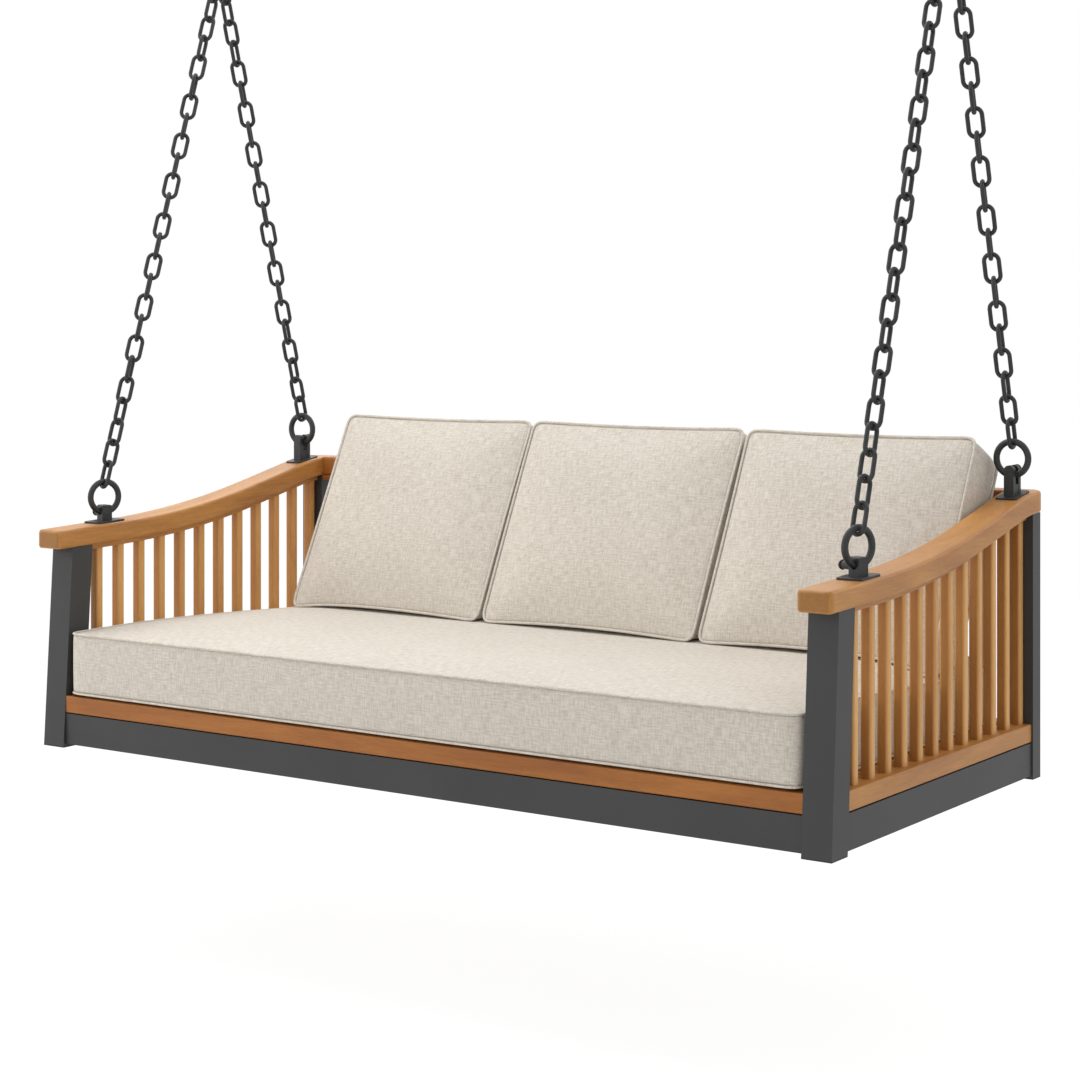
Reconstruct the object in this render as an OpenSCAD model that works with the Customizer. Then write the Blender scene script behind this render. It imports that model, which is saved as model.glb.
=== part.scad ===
// Hanging swing bed: teak arms, rails and slats on a powder-coated metal frame, hung by four chains.
// The origin is the centre of the ceiling bolts, on the ceiling, and the bed hangs below it.
// X runs along the bed, -Y is its open front and +Z is up. All sizes are in millimetres.

/* [Frame] */
// Length over the posts
bed_len = 2040; // [1700:10:2300]
// Depth from the feet of the front posts to the back of the rear posts
bed_depth = 962; // [860:1:1100]
// Width of the square posts
post_w = 63.5; // [50:0.5:75]
// Depth of the rear posts
post_rear_d = 40; // [30:0.5:75]
// Wall of the post tubes
post_wall = 3; // [2:0.5:5]
// How far the front posts lean back over their height
post_lean = 29; // [0:1:45]
// Thickness of the plug under each post
foot_t = 3; // [2:1:8]
// Height of the aprons
apron_h = 70; // [50:1:90]
// Thickness of the aprons
apron_t = 30; // [20:1:40]
// Wall of the apron tubes
apron_wall = 2.5; // [2:0.5:4]
// Height of the aprons above the feet
apron_lift = 8; // [4:1:20]
// How far the front and rear aprons and rails stand in from the posts' faces
face_inset = 8; // [2:1:15]
// How far the side aprons and rails stand in from the posts' faces
side_inset = 4; // [1:1:12]

/* [Teak rails and slats] */
// Height of the seat rails
rail_h = 38.5; // [30:0.5:50]
// Depth of the front and rear seat rails
rail_w = 55; // [45:1:60]
// Shadow gap between an apron and the rail above it
shadow_gap = 2; // [1:0.5:6]
// Edge rounding of the seat rails
rail_r = 3; // [1:0.5:6]
// Number of slats in each side
side_slats = 12; // [8:1:13]
// Number of slats in the back
back_slats_n = 27; // [18:1:31]
// Slat size across the panel
slat_t = 24; // [16:1:28]
// Slat size along the panel
slat_w = 22; // [14:1:30]
// Edge rounding of the slats
slat_r = 6.5; // [2:0.5:7]
// First side slat behind the front post
slat_first = 34; // [20:1:60]
// Thickness of the rail that takes the slat tops
sub_t = 13; // [8:1:20]
// Width of the rail that takes the slat tops
sub_w = 34; // [30:1:42]

/* [Arms] */
// Width of each arm
arm_w = 75; // [66:1:85]
// Thickness of each arm at its front end
arm_t = 42.5; // [34:0.5:50]
// How much thicker the arms are at the rear
arm_grow = 4.5; // [0:0.5:8]
// Height of the arms' underside above the feet, at the front
arm_z = 456; // [400:1:520]
// Overhang of the arms ahead of the posts' feet
arm_front = 15; // [5:1:40]
// Overhang of the arms behind the rear posts
arm_back = 22; // [5:1:30]
// Overhang of the arms past the posts' outer faces
arm_side = 7.5; // [2:0.5:14]
// Slope of the straight front stretch that takes the front hangers
arm_rise = 1.8; // [0:0.1:4]
// Slope of the rising stretch
arm_slope = 12.4; // [8:0.1:13]
// Radius of the front bend
arm_bend = 2600; // [1200:50:2800]
// Radius of the rear bend
arm_bend_rear = 450; // [300:10:600]
// Edge rounding of the arms and the back rail
arm_edge = 7; // [3:0.5:10]
// Corner rounding at the arms' front ends
arm_end_r = 12; // [8:1:20]
// Corner rounding at the arms' outer rear corners
arm_corner_r = 45; // [20:1:55]
// Depth of the back's top rail
back_rail_w = 64; // [48:1:70]

/* [Deck] */
// Number of deck slats
deck_slats_n = 22; // [14:1:24]
// Width of a deck slat
deck_slat_w = 60; // [40:1:68]
// Thickness of a deck slat
deck_slat_t = 18; // [14:1:22]
// Height of the cross members and the bearer on them
bearer_h = 36; // [25:1:36]
// Width of the cross members and the bearer on them
bearer_w = 40; // [30:1:60]

/* [Hangers and chains] */
// Distance from the ceiling down to the feet
hang_h = 1914; // [1800:1:2400]
// How far the hang lines lie behind the middle of the hangers, to balance the back
hang_back = 42.5; // [20:0.5:60]
// Front hangers' distance from the feet of the front posts
hanger_front = 165; // [130:1:200]
// Rear hangers' distance in from the backs of the rear posts
hanger_in = 80; // [60:1:120]
// Length of a hanger's base plate
plate_l = 86; // [76:1:110]
// Width of a hanger's base plate
plate_w = 55; // [46:1:60]
// Thickness of a hanger's base plate
plate_t = 4; // [3:0.5:8]
// Turn of the front hangers' eyes on their plates
front_turn = -18; // [-25:1:25]
// Height of the front rings' lowest point over the plates, to the middle of the rod
ring_sit = 18.7; // [18:0.1:30]
// Height of the front hangers' eyes over their plates
eye_h = 36; // [34:1:60]
// Height of the pin over the plate at the rear
pin_h_rear = 51; // [40:1:70]
// Length of the front hangers' bolts outside their eyes, without the head
bolt_l = 27; // [5:1:40]
// Diameter of the hanger pins
pin_d = 10; // [8:0.5:12]
// Outer diameter of the rings
ring_d = 86; // [80:1:100]
// Diameter of the rings' rod
ring_wire = 14; // [11:0.5:15]
// Diameter of the chain's rod
link_wire = 9.4; // [7:0.1:10]
// Outer width of a link
link_w = 40; // [36:1:44]
// Outer length of a link, before a whole number of links is fitted
link_l = 71; // [64:1:84]
// Length of a ceiling plate
ceiling_l = 140; // [120:1:180]
// Width of a ceiling plate
ceiling_w = 60; // [52:1:80]
// Thickness of a ceiling plate
ceiling_t = 6; // [5:1:10]
// Distance between the two holes of a ceiling plate
ceiling_holes = 100; // [90:1:110]
// Diameter of the ceiling holes
ceiling_hole_d = 11; // [8:0.5:13]
// Drop of the ceiling pins below the ceiling
ceiling_pin_z = 40; // [36:1:60]

/* [Cushions] */
// Clearance between the seat cushion and each arm
seat_gap = 3; // [2:1:20]
// Clearance between the seat cushion and the rear posts
seat_back_gap = 34; // [4:0.5:60]
// Thickness of the seat cushion at its piping
seat_t = 141; // [100:1:160]
// Crown of the seat cushion
seat_crown = 22; // [10:1:35]
// Room left over beside the row of back cushions
cushion_spare = 190; // [60:5:300]
// Height of a back cushion along its face
cushion_h = 510; // [420:2:560]
// Thickness of a back cushion at its piping
cushion_t = 124; // [80:1:130]
// Crown of a back cushion
cushion_crown = 22; // [10:1:26]
// Crown of a back cushion's back
cushion_bulge = 36; // [20:1:44]
// Lean of the back cushions
cushion_lean = 26.5; // [20:0.5:30]
// Corner rounding of the back cushions
cushion_r = 17; // [10:1:40]
// Corner rounding of the seat cushion
seat_r = 30; // [10:1:50]
// Gap between two back cushions
cushion_gap = 18; // [6:1:30]

/* [Hidden] */
// Clearances: touching pieces, running fits, ring and link contacts, the open ring contacts
seat_clear = 0.2;
run_clear = 0.05;
touch = 0.3;
ring_touch = 0.8;
$fn = 48;

teak = "peru";
teak_dark = "sienna";
coat = "dimgray";
black = "#2a2a2a";
linen = "linen";

// Places along X, measured from the middle of the bed
post_x = bed_len / 2 - post_w;               // inner face of the posts
arm_xo = bed_len / 2 + arm_side;             // outer face of the arms
arm_xi = arm_xo - arm_w;                     // inner face of the arms
slat_x = bed_len / 2 - post_w / 2;           // middle of the side slats
hang_x = arm_xi + arm_xo;                    // between the hang lines, over the arms' middles

// Places along Y, measured from the feet of the front posts
rear_y = bed_depth - post_rear_d;            // front face of the rear posts
arm_y0 = -arm_front;
arm_y1 = bed_depth + arm_back;
back_rail_y = arm_y1 - back_rail_w;          // front face of the back's top rail
back_slat_y = bed_depth - 25.5;              // middle of the back slats
lean_angle = atan(post_lean / arm_z);
hanger_rear = bed_depth - hanger_in;
hang_y = (hanger_front + hanger_rear) / 2 + hang_back;         // the hang lines
arm_flat = hanger_front + plate_l / 2;       // end of the arms' straight front stretch

// Heights above the feet
apron_top = apron_lift + apron_h;
rail_z = apron_top + shadow_gap;
rail_top = rail_z + rail_h;                  // top of the seat rails and the deck
deck_z = rail_top - deck_slat_t;             // underside of the deck slats
bearer_z = deck_z - bearer_h;
cross_z = bearer_z - bearer_h;

// The underside of an arm: nearly level, a bend up, a straight slope, a bend back to level
rise_z0 = arm_z + arm_flat * tan(arm_rise);
rise_y1 = arm_flat + arm_bend * (sin(arm_slope) - sin(arm_rise));
rise_z1 = rise_z0 + arm_bend * (cos(arm_rise) - cos(arm_slope));
rise_y3 = bed_depth - 6;
rise_y2 = rise_y3 - arm_bend_rear * sin(arm_slope);
rise_z2 = rise_z1 + (rise_y2 - rise_y1) * tan(arm_slope);
rise_z3 = rise_z2 + arm_bend_rear * (1 - cos(arm_slope));
function arm_tilt(y) =
    y <= arm_flat ? arm_rise
    : y <= rise_y1 ? asin((y - arm_flat) / arm_bend + sin(arm_rise))
    : y <= rise_y2 ? arm_slope
    : y <= rise_y3 ? asin((rise_y3 - y) / arm_bend_rear) : 0;
function arm_under(y) =
    y <= arm_flat ? arm_z + y * tan(arm_rise)
    : y <= rise_y1 ? rise_z0 + arm_bend * (cos(arm_rise) - cos(arm_tilt(y)))
    : y <= rise_y2 ? rise_z1 + (y - rise_y1) * tan(arm_slope)
    : y <= rise_y3 ? rise_z3 - arm_bend_rear * (1 - cos(arm_tilt(y))) : rise_z3;
function arm_top(y) = arm_under(y) + arm_t + arm_grow * min(1, y / rise_y3);
back_rail_top = arm_top(arm_y1);

// Stations along an arm where its section is drawn: close together in the bends and at the ends
bend_steps = 10;
rear_steps = 4;
end_steps = 6;
function end_stations(r) = [for (i = [0:end_steps]) r * (1 - cos(90 * i / end_steps))];
bend_stations = concat(
    [for (i = [0:bend_steps]) arm_flat + (rise_y1 - arm_flat) * i / bend_steps],
    [for (i = [0:rear_steps]) rise_y2 + (rise_y3 - rise_y2) * i / rear_steps]);
corner_y = arm_y1 - arm_corner_r;
arm_stations = concat(
    [for (d = end_stations(arm_end_r)) arm_y0 + d],
    [for (y = bend_stations) if (y < corner_y - 1) y],
    [for (i = [end_steps:-1:0]) arm_y1 - end_stations(arm_corner_r)[i]]);
// How far a rounded end of radius r draws in at distance d from the end
function drawn_in(d, r) = d >= r ? 0 : r - sqrt(max(0, r * r - pow(r - d, 2)));

// Chain ends: the ceiling ring's centre and the two arm hangers of one side
ring_mean = (ring_d - ring_wire) / 2;
ring_seat = ring_mean - ring_wire / 2 - pin_d / 2 - touch;     // pin to ring centre
top_ring_z = hang_h - ceiling_pin_z - ring_seat;
front_ring_z = arm_top(hanger_front) + plate_t + ring_sit + ring_mean;
rear_pin_z = arm_top(hanger_rear) + plate_t / cos(arm_slope) + pin_h_rear;
rear_ring_z = rear_pin_z + ring_seat;
chain_top = [hang_y, top_ring_z];
front_end = [hanger_front, front_ring_z + ring_mean];
rear_end = [hanger_rear, rear_ring_z + ring_mean];
front_links = 25;
rear_links = 22;

// Seat cushion and back cushions
seat_len = 2 * (arm_xi - seat_gap);
seat_y = face_inset;
seat_depth = rear_y - seat_y - seat_back_gap;
seat_z = rail_top + touch;
seat_top = seat_z + seat_t + seat_crown;
cushion_side = 11;                                              // from the right arm
cushion_w = (2 * arm_xi - cushion_side - cushion_spare - 2 * cushion_gap) / 3;
cushion_pitch = cushion_w + cushion_gap;
cushion_right = arm_xi - cushion_side - cushion_w / 2;          // middle of the right-hand cushion
// The front edge of their feet, from the point of their backs that meets the back's top rail
rail_edge = back_rail_top - arm_edge - seat_top;
rail_up = (rail_edge + cushion_t * sin(cushion_lean)) / cos(cushion_lean);
cushion_y = back_rail_y - 0.5 - cushion_t * cos(cushion_lean) - rail_up * sin(cushion_lean)
    - cushion_bulge * (1 - pow(abs(2 * rail_up / cushion_h - 1), 4)) / cos(cushion_lean);

// Moves a piece from the bed's own origin, in the middle under the front posts' feet, to the part's
module on_bed() {
    translate([0, -hang_y, -hang_h]) children();
}

// A right-hand piece at side 1, and its mirror image at side -1
module on_side(side) {
    on_bed() mirror([side < 0 ? 1 : 0, 0, 0]) children();
}

// A rectangle about the origin with round corners
module round_rect(w, h, r) {
    square([w - 2 * r, h], center = true);
    square([w, h - 2 * r], center = true);
    for (x = [-1, 1], y = [-1, 1]) translate([x * (w / 2 - r), y * (h / 2 - r)]) circle(r);
}

// A bar along X with a round-cornered section, its lowest corner at the child's origin
module bar_x(x0, x1, y0, y1, z0, z1, r) {
    translate([x0, (y0 + y1) / 2, (z0 + z1) / 2]) rotate([90, 0, 90])
        linear_extrude(x1 - x0) round_rect(y1 - y0, z1 - z0, r);
}

// The same along Y
module bar_y(x0, x1, y0, y1, z0, z1, r) {
    translate([(x0 + x1) / 2, y1, (z0 + z1) / 2]) rotate([90, 0, 0])
        linear_extrude(y1 - y0) round_rect(x1 - x0, z1 - z0, r);
}

// An outline of [y, z] points drawn out along X
module side_outline(x0, x1, points) {
    translate([x0, 0, 0]) rotate([90, 0, 90]) linear_extrude(x1 - x0) polygon(points);
}

// The arm's underside from y0 to y1, lowered by a drop
function under_line(y0, y1, drop) = concat([[y0, arm_under(y0) - drop]],
    [for (y = bend_stations) if (y > y0 + 0.5 && y < y1 - 0.5) [y, arm_under(y) - drop]],
    [[y1, arm_under(y1) - drop]]);
function reversed(list) = [for (i = [len(list) - 1:-1:0]) list[i]];

// Everything under the arm's underside, less a drop
module under_arm(drop) {
    side_outline(post_x - 200, arm_xo + 50,
        concat([[-100, -10], [-100, arm_under(-100) - drop]], under_line(-50, arm_y1 + 20, drop),
            [[arm_y1 + 20, -10]]));
}

// ---------------------------------------------------------------- posts, aprons and rails

// The space of a front post, grown inward by a negative wall
module front_post_block(wall) {
    rotate([-lean_angle, 0, 0]) translate([post_x + wall, wall, -60])
        cube([post_w - 2 * wall, post_w - 2 * wall, arm_z + 120]);
}

module post_front(side) {
    color(coat) on_side(side) difference() {
        intersection() {
            front_post_block(0);
            translate([post_x, -50, foot_t]) cube([post_w, 300, rise_z3]);
            under_arm(seat_clear);
        }
        intersection() {
            front_post_block(post_wall);
            under_arm(seat_clear + post_wall);
        }
    }
}

module post_rear(side) {
    color(coat) on_side(side) difference() {
        intersection() {
            translate([post_x, rear_y, foot_t]) cube([post_w, post_rear_d, rise_z3]);
            under_arm(seat_clear);
        }
        intersection() {
            translate([post_x + post_wall, rear_y + post_wall, -10])
                cube([post_w - 2 * post_wall, post_rear_d - 2 * post_wall, rise_z3]);
            under_arm(seat_clear + post_wall);
        }
    }
}

// Plugs in the post tubes: a sole under the wall and a collar inside it
module foot_plugs() {
    inset = 2 * (post_wall + run_clear);
    color(black) for (side = [-1, 1]) on_side(side) {
        translate([post_x, 0, 0]) cube([post_w, post_w, foot_t]);
        intersection() {
            front_post_block(post_wall + run_clear);
            translate([post_x, 0, foot_t]) cube([post_w, post_w + 10, 15]);
        }
        translate([post_x, rear_y, 0]) cube([post_w, post_rear_d, foot_t]);
        translate([post_x + post_wall + run_clear, rear_y + post_wall + run_clear, foot_t])
            cube([post_w - inset, post_rear_d - inset, 15]);
    }
}

// A rectangular tube along X or Y, open at its ends
module tube(x0, x1, y0, y1, z0, z1, along_x) {
    wall = apron_wall;
    difference() {
        translate([x0, y0, z0]) cube([x1 - x0, y1 - y0, z1 - z0]);
        if (along_x)
            translate([x0 - 1, y0 + wall, z0 + wall])
                cube([x1 - x0 + 2, y1 - y0 - 2 * wall, z1 - z0 - 2 * wall]);
        else
            translate([x0 + wall, y0 - 1, z0 + wall])
                cube([x1 - x0 - 2 * wall, y1 - y0 + 2, z1 - z0 - 2 * wall]);
    }
}

module apron_front() {
    color(coat) on_bed()
        tube(-post_x, post_x, face_inset, face_inset + apron_t, apron_lift, apron_top, true);
}

module apron_rear() {
    back = bed_depth - face_inset;
    color(coat) on_bed()
        tube(-post_x, post_x, back - apron_t, back, apron_lift, apron_top, true);
}

module apron_side(side) {
    outer = bed_len / 2 - side_inset;
    color(coat) on_side(side) difference() {
        tube(outer - apron_t, outer, post_w / 2, rear_y, apron_lift, apron_top, false);
        front_post_block(0);
    }
}

module front_rail() {
    color(teak) on_bed()
        bar_x(-post_x, post_x, face_inset, face_inset + rail_w, rail_z, rail_top, rail_r);
}

module rear_rail() {
    back = bed_depth - face_inset;
    color(teak) on_bed() bar_x(-post_x, post_x, back - rail_w, back, rail_z, rail_top, rail_r);
}

module side_rail(side) {
    color(teak) on_side(side) difference() {
        bar_y(post_x, bed_len / 2 - side_inset, post_w / 2, rear_y, rail_z, rail_top, rail_r);
        front_post_block(-seat_clear);
    }
}

// ---------------------------------------------------------------- arms and slat panels

// One section of an arm: a round-cornered rectangle in a plane across Y
section_steps = 4;
function arm_section(y) =
    let (
        front = drawn_in(y - arm_y0, arm_end_r),
        rear = drawn_in(arm_y1 - y, arm_corner_r),
        ease = drawn_in(min(y - arm_y0, arm_y1 - y), arm_edge),
        x0 = arm_xi + front, x1 = arm_xo - front - rear,
        z0 = arm_under(y) + ease, z1 = arm_top(y) - ease,
        r = min(arm_edge, (x1 - x0) / 2 - 1, (z1 - z0) / 2 - 1),
        corners = [[x1 - r, z1 - r, 0], [x0 + r, z1 - r, 90], [x0 + r, z0 + r, 180],
            [x1 - r, z0 + r, 270]])
    [for (c = corners, i = [0:section_steps])
        let (a = c[2] + 90 * i / section_steps) [c[0] + r * cos(a), y, c[1] + r * sin(a)]];

// A closed solid through sections with equal numbers of points, as triangles
module loft(sections) {
    n = len(sections[0]);
    m = len(sections);
    walls = [for (k = [0:m - 2], i = [0:n - 1])
        let (a = k * n + i, b = k * n + (i + 1) % n)
        each [[a, b, a + n], [b, b + n, a + n]]];
    polyhedron([for (s = sections) each s],
        concat([[for (i = [n - 1:-1:0]) i]], walls, [[for (i = [0:n - 1]) (m - 1) * n + i]]),
        convexity = 6);
}

module arm(side) {
    color(teak) on_side(side) difference() {
        loft([for (y = arm_stations) arm_section(y)]);
        for (y = [hanger_front, hanger_rear]) hanger_screw_holes(y);
        at_plate(hanger_rear) linear_extrude(arm_t) round_rect(rear_plate_w + 0.4,
            rear_plate_l + 0.4, plate_r);
    }
}

module arm_sub_rail(side) {
    color(teak) on_side(side) difference() {
        side_outline(slat_x - sub_w / 2, slat_x + sub_w / 2,
            concat(under_line(post_w / 2, rear_y, seat_clear),
                reversed(under_line(post_w / 2, rear_y, seat_clear + sub_t))));
        front_post_block(0);
    }
}

// Slats stand on the seat rail and reach the rail under the arm
slat_y0 = post_w + post_lean + slat_first + slat_w / 2;
slat_y1 = rear_y - slat_w / 2 - 2;
module side_slats(side) {
    color(teak_dark) on_side(side) intersection() {
        for (i = [0:side_slats - 1])
            translate([slat_x, slat_y0 + (slat_y1 - slat_y0) * i / (side_slats - 1), rail_top])
                linear_extrude(rise_z3) round_rect(slat_t, slat_w, slat_r);
        under_arm(seat_clear + sub_t);
    }
}

module back_top_rail() {
    color(teak) on_bed()
        bar_x(-arm_xi, arm_xi, back_rail_y, arm_y1, rise_z3, back_rail_top, arm_edge);
}

module back_sub_rail() {
    reach = arm_xi - seat_clear;
    color(teak) on_bed() bar_x(-reach, reach, back_slat_y - sub_w / 2, back_slat_y + sub_w / 2,
        rise_z3 - sub_t, rise_z3, 2);
}

module back_slats() {
    pitch = 2 * post_x / (back_slats_n + 1);
    color(teak_dark) on_bed() for (i = [1:back_slats_n])
        translate([-post_x + i * pitch, back_slat_y, rail_top])
            linear_extrude(rise_z3 - sub_t - rail_top) round_rect(slat_w, slat_t, slat_r);
}

// ---------------------------------------------------------------- deck

// Three cross members between the front and rear aprons
module cross_members() {
    y0 = face_inset + apron_t;
    y1 = bed_depth - face_inset - apron_t;
    color(coat) on_bed() for (x = [-0.3 * bed_len, 0, 0.3 * bed_len])
        tube(x - bearer_w / 2, x + bearer_w / 2, y0, y1, cross_z, bearer_z, false);
}

// The bearer lies on the cross members and runs between the side rails
module centre_bearer() {
    reach = post_x;
    y = (face_inset + rail_w + bed_depth - face_inset - rail_w) / 2;
    color(coat) on_bed()
        tube(-reach, reach, y - bearer_w / 2, y + bearer_w / 2, bearer_z, deck_z, true);
}

// Strips on the inner faces of the front and rear rails that carry the deck slats' ends
ledger_w = 22;
module deck_ledgers() {
    front = face_inset + rail_w;
    back = bed_depth - face_inset - rail_w;
    color(teak) on_bed() {
        bar_x(-post_x, post_x, front, front + ledger_w, rail_z, deck_z, 2);
        bar_x(-post_x, post_x, back - ledger_w, back, rail_z, deck_z, 2);
    }
}

module deck_slats() {
    front = face_inset + rail_w + touch;
    back = bed_depth - face_inset - rail_w - touch;
    span = 2 * (post_x - deck_slat_w / 2 - 10);
    color(teak_dark) on_bed() for (i = [0:deck_slats_n - 1])
        let (x = -span / 2 + span * i / (deck_slats_n - 1))
            bar_y(x - deck_slat_w / 2, x + deck_slat_w / 2, front, back, deck_z, rail_top, 2);
}

// ---------------------------------------------------------------- rings, hangers and pins

// A ring about the origin in the plane across X
module ring() {
    color(black) rotate([0, 90, 0]) rotate_extrude($fn = 72)
        translate([ring_mean, 0]) circle(ring_wire / 2, $fn = 32);
}

// Two ears with round tops and a pin hole, across a slot for the ring. The slot is across X and
// the pin runs along X at the height pin_z; the ears reach down to base_z.
ear_rear = 12;
slot_w = 15.5;
module ears(ear_t, ear_w, pin_z, base_z) {
    rotate([90, 0, 90]) for (x = [-slot_w / 2 - ear_t, slot_w / 2])
        translate([0, 0, x]) linear_extrude(ear_t) difference() {
            ear(ear_w, pin_z, base_z);
            translate([0, pin_z]) circle(pin_d / 2 + run_clear);
        }
}

// An ear's outline: a half round where it is narrow, else a low arch, with a rim over the pin
ear_rim = 4.5;
module ear(ear_w, pin_z, base_z) {
    h = pin_d / 2 + ear_rim;
    r = ear_w / 2 <= h + 2 ? ear_w / 2 : h;
    centre = pin_z + h - r;
    translate([-ear_w / 2, base_z]) square([ear_w, centre - base_z]);
    if (ear_w > 2 * r) {
        for (x = [-1, 1]) translate([x * (ear_w / 2 - r), centre]) circle(r);
        translate([-ear_w / 2 + r, centre - 1]) square([ear_w - 2 * r, r + 1]);
    } else translate([0, centre]) circle(r);
}

// The eye of a front hanger: a block about the lowest part of the ring across X. The ring lies in
// a hollow with a little room under and beside its rod, and the bolt comes in from the -X side.
eye_x = 27.5;
eye_y = 25;
eye_r = 4;
eye_room = 1;
bolt_z = ring_sit - 1.5;
module eye() {
    difference() {
        translate([-eye_x / 2, 0, -1]) rotate([90, 0, 90]) linear_extrude(eye_x) {
            translate([-eye_y / 2, 0]) square([eye_y, eye_h + 1 - eye_r]);
            translate([-eye_y / 2 + eye_r, 0]) square([eye_y - 2 * eye_r, eye_h + 1]);
            for (y = [-1, 1]) translate([y * (eye_y / 2 - eye_r), eye_h + 1 - eye_r]) circle(eye_r);
        }
        translate([0, 0, ring_sit + ring_mean + touch - eye_room]) rotate([0, 90, 0])
            rotate_extrude($fn = 72) translate([ring_mean, 0])
                circle(ring_wire / 2 + eye_room, $fn = 32);
        translate([-eye_x, 0, bolt_z]) rotate([0, 90, 0])
            cylinder(d = pin_d + 2 * run_clear, h = eye_x);
    }
}

// The bolt that holds a front ring in its eye, along X: its tip beside the ring's rod and its
// head on a long collar on the -X side
module lock_bolt() {
    out = eye_x / 2 + touch;
    color(black) rotate([0, 90, 0]) {
        translate([0, 0, -out - 5]) cylinder(d = pin_d, h = out + 5 - ring_wire / 2 - touch);
        translate([0, 0, -out - bolt_l]) cylinder(d = pin_d + 6, h = bolt_l);
        translate([0, 0, -out - bolt_l]) mirror([0, 0, 1]) pin_head();
    }
}

// A round-headed pin through the ears, along X, its head on the -X side
pin_head_d = 20;
pin_head_h = 9;
pin_collar = 5;
module pin(ear_t) {
    half = slot_w / 2 + ear_t;
    color(black) rotate([0, 90, 0]) {
        translate([0, 0, -half - touch / 2]) cylinder(d = pin_d, h = 2 * half + touch / 2);
        translate([0, 0, -half - touch - pin_collar]) cylinder(d = pin_d + 5, h = pin_collar);
        translate([0, 0, -half - touch - pin_collar]) mirror([0, 0, 1]) pin_head();
    }
}

module pin_head() {
    rotate_extrude() intersection() {
        head_dome();
        square([pin_head_d, pin_head_h]);
    }
}

// Half of the head's outline: a circle segment
module head_dome() {
    r = (pow(pin_head_d / 2, 2) + pow(pin_head_h, 2)) / (2 * pin_head_h);
    translate([0, pin_head_h - r]) circle(r, $fn = 64);
}

// A base plate on the arm, with two countersunk screw holes. The rear ones are a little smaller
// and let into the arm, which curves under them.
plate_r = 8;
rear_plate_l = plate_l * 0.9;
rear_plate_w = plate_w * 0.9;
rear_plate_drop = 1.6;
screw_d = 6;
screw_head = 12;
screw_y = 33;
screw_l = 34;
module base_plate(l, w, t, holes) {
    difference() {
        linear_extrude(t) round_rect(w, l, plate_r);
        for (y = [-1, 1]) translate([0, y * screw_y, 0]) {
            translate([0, 0, -1]) cylinder(d = screw_d + 0.4, h = t + 2);
            translate([0, 0, t - (screw_head - screw_d) / 2])
                cylinder(d1 = screw_d + 0.4, d2 = screw_head + 0.4, h = (screw_head - screw_d) / 2 + 0.01);
        }
    }
}

// The place of a hanger's plate on the arm, in bed coordinates
function top_tilt(y) = atan(tan(arm_tilt(y)) + arm_grow / rise_y3);
module at_plate(y) {
    translate([hang_x / 2, y, arm_top(y)]) rotate([top_tilt(y), 0, 0])
        translate([0, 0, y > arm_flat ? -rear_plate_drop : 0]) children();
}

module hanger_screw_holes(y) {
    at_plate(y) for (s = [-1, 1])
        translate([0, s * screw_y, -screw_l]) cylinder(d = screw_d + 0.2, h = screw_l + 5, $fn = 24);
}

module hanger_front(side) {
    color(black) on_bed() translate([(side - 1) * hang_x / 2, 0, 0]) {
        at_plate(hanger_front) base_plate(plate_l, plate_w, plate_t);
        translate([hang_x / 2, hanger_front, arm_top(hanger_front) + plate_t])
            rotate([0, 0, front_turn]) eye();
    }
}

// The rear ears are one piece below the web's height
web_h = 20;
module hanger_rear(side) {
    color(black) on_bed() translate([(side - 1) * hang_x / 2, 0, 0]) {
        at_plate(hanger_rear) base_plate(rear_plate_l, rear_plate_w, plate_t);
        difference() {
            translate([hang_x / 2, hanger_rear, rear_pin_z]) rotate([0, 0, -90]) {
                ears(ear_rear, 22, 0, -pin_h_rear - 8);
                translate([-slot_w / 2 - 1, -10.4, -pin_h_rear - 8])
                    cube([slot_w + 2, 20.8, web_h + 8]);
            }
            at_plate(hanger_rear) translate([-50, -50, -30]) cube([100, 100, 31]);
        }
    }
}

module hanger_screws() {
    color(black) for (side = [-1, 1], y = [hanger_front, hanger_rear]) on_side(side)
        at_plate(y) for (s = [-1, 1]) translate([0, s * screw_y, plate_t]) mirror([0, 0, 1]) {
            cylinder(d1 = screw_head, d2 = screw_d, h = (screw_head - screw_d) / 2);
            cylinder(d = screw_d, h = screw_l - 2);
        }
}

module hanger_pin_front(side) {
    on_bed() translate([side * hang_x / 2, hanger_front, arm_top(hanger_front) + plate_t + bolt_z])
        rotate([0, 0, front_turn]) lock_bolt();
}

module hanger_pin_rear(side) {
    on_bed() translate([side * hang_x / 2, hanger_rear, rear_pin_z])
        rotate([0, 0, -90]) pin(ear_rear);
}

module ring_front(side) {
    on_bed() translate([side * hang_x / 2, hanger_front, front_ring_z])
        rotate([0, 0, front_turn]) ring();
}

module ring_rear(side) {
    on_bed() translate([side * hang_x / 2, hanger_rear, rear_ring_z]) rotate([0, 0, 90]) ring();
}

// ---------------------------------------------------------------- ceiling fittings

ear_ceiling = 9;
module ceiling_plate(side) {
    color(black) translate([side * hang_x / 2, 0, 0]) {
        translate([0, 0, -ceiling_t]) linear_extrude(ceiling_t) difference() {
            round_rect(ceiling_w, ceiling_l, 10);
            for (y = [-1, 1]) translate([0, y * ceiling_holes / 2]) circle(ceiling_hole_d / 2);
        }
        translate([0, 0, -ceiling_pin_z]) mirror([0, 0, 1])
            ears(ear_ceiling, 30, 0, -(ceiling_pin_z - ceiling_t) - 1);
    }
}

module ceiling_pin(side) {
    translate([side * hang_x / 2, 0, -ceiling_pin_z])
        rotate([0, 0, side > 0 ? 180 : 0]) pin(ear_ceiling);
}

module top_ring(side) {
    on_bed() translate([side * hang_x / 2, hang_y, top_ring_z]) ring();
}

// ---------------------------------------------------------------- chains

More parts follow.
